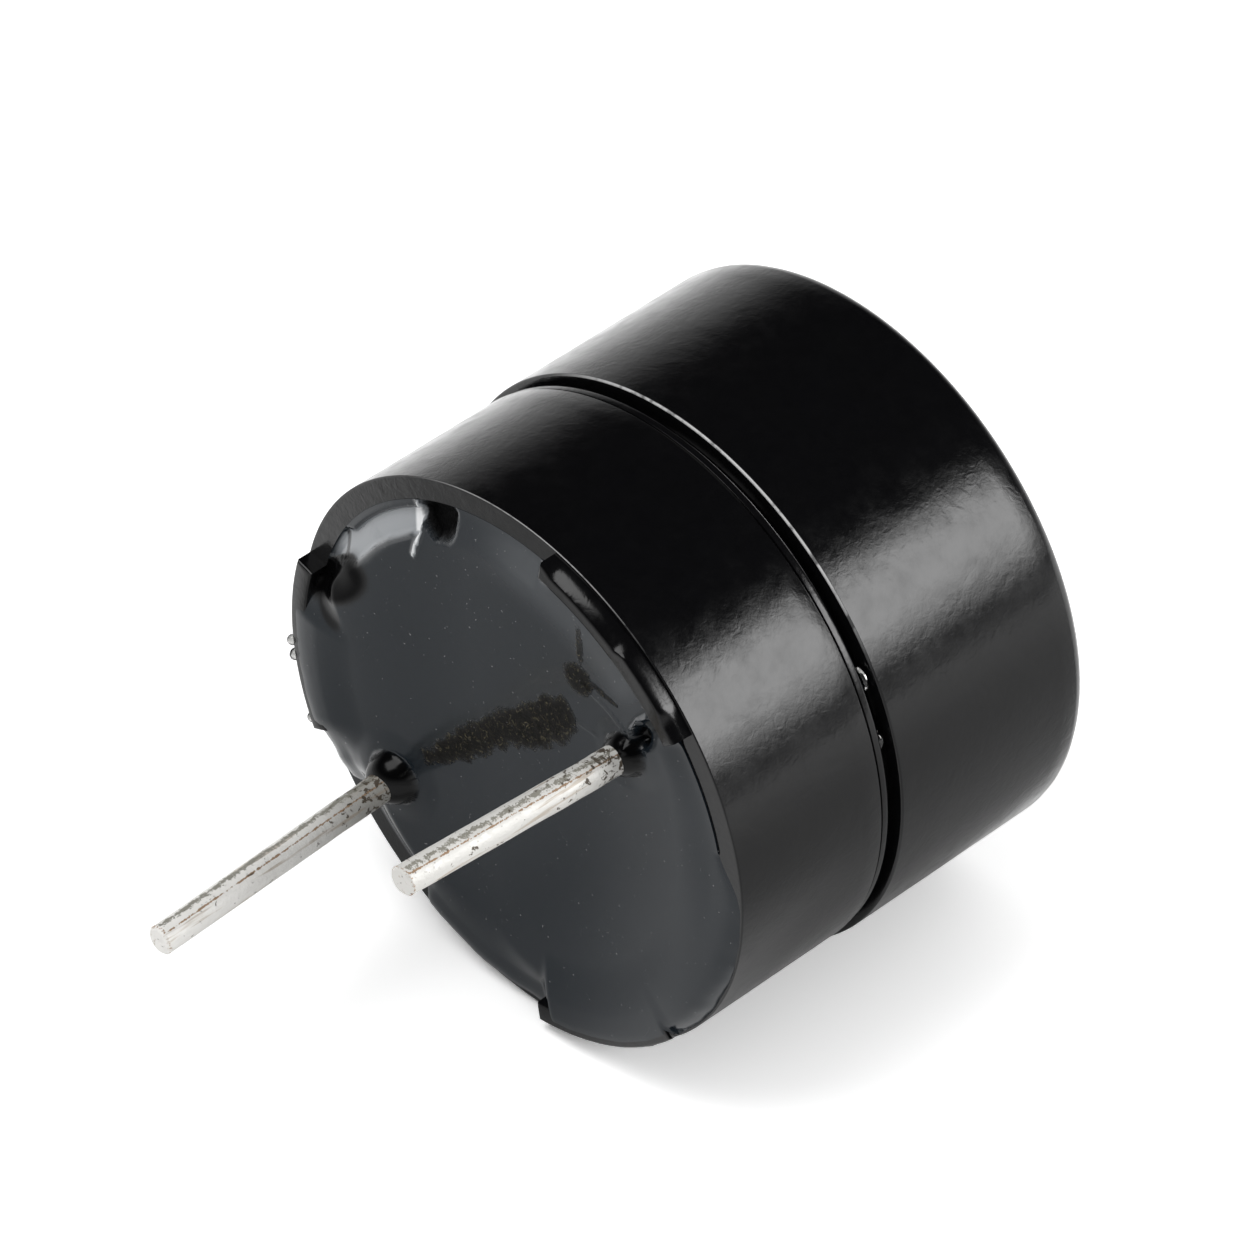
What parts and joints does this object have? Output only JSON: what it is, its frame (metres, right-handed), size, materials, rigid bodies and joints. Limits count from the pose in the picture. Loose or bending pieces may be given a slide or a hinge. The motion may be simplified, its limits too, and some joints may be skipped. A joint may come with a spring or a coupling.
{
  "type": "magnetic buzzer",
  "caption": "Round black through-hole magnetic buzzer: capped drum with a sound hole, stand-off tabs on its potted underside, and a long and a short straight pin.",
  "frame": {"origin": "midway between the two pins, on the seating plane at the feet of the stand-off tabs", "axes": "+Z is the sound axis, out of the face with the sound hole, and the pins point to -Z; +X runs from the short negative pin to the long positive pin"},
  "size_m": [0.012, 0.012, 0.0153],
  "materials": {
    "case": "glossy moulded, faint flow marks",
    "potting": "smooth cast resin, glossy at the pin drops",
    "tinned": "tinned, bright, slightly pitted",
    "solder": "bright solder",
    "board": "solder resist over glass laminate",
    "iron": "plated soft iron",
    "magnet": "dark sintered",
    "spring_steel": "thin rolled sheet",
    "winding": "enamelled copper wire",
    "component": "moulded component body"
  },
  "bodies": {
    "root": {"cap": "case", "base": "case", "epoxy": "potting", "circuit_board": "board", "yoke_plate": "iron", "core": "iron", "coil": "winding", "ring_magnet": "magnet", "diaphragm": "spring_steel", "armature": "iron", "long_pin": "tinned", "short_pin": "tinned", "pin_solder": "solder", "transistor": "component", "transistor_legs": "tinned", "resistor": "component", "diode": "component", "component_solder": "solder", "coil_lead_start": "winding", "coil_lead_tap": "winding", "coil_lead_end": "winding", "lead_solder": "solder"}
  },
  "joints": []
}
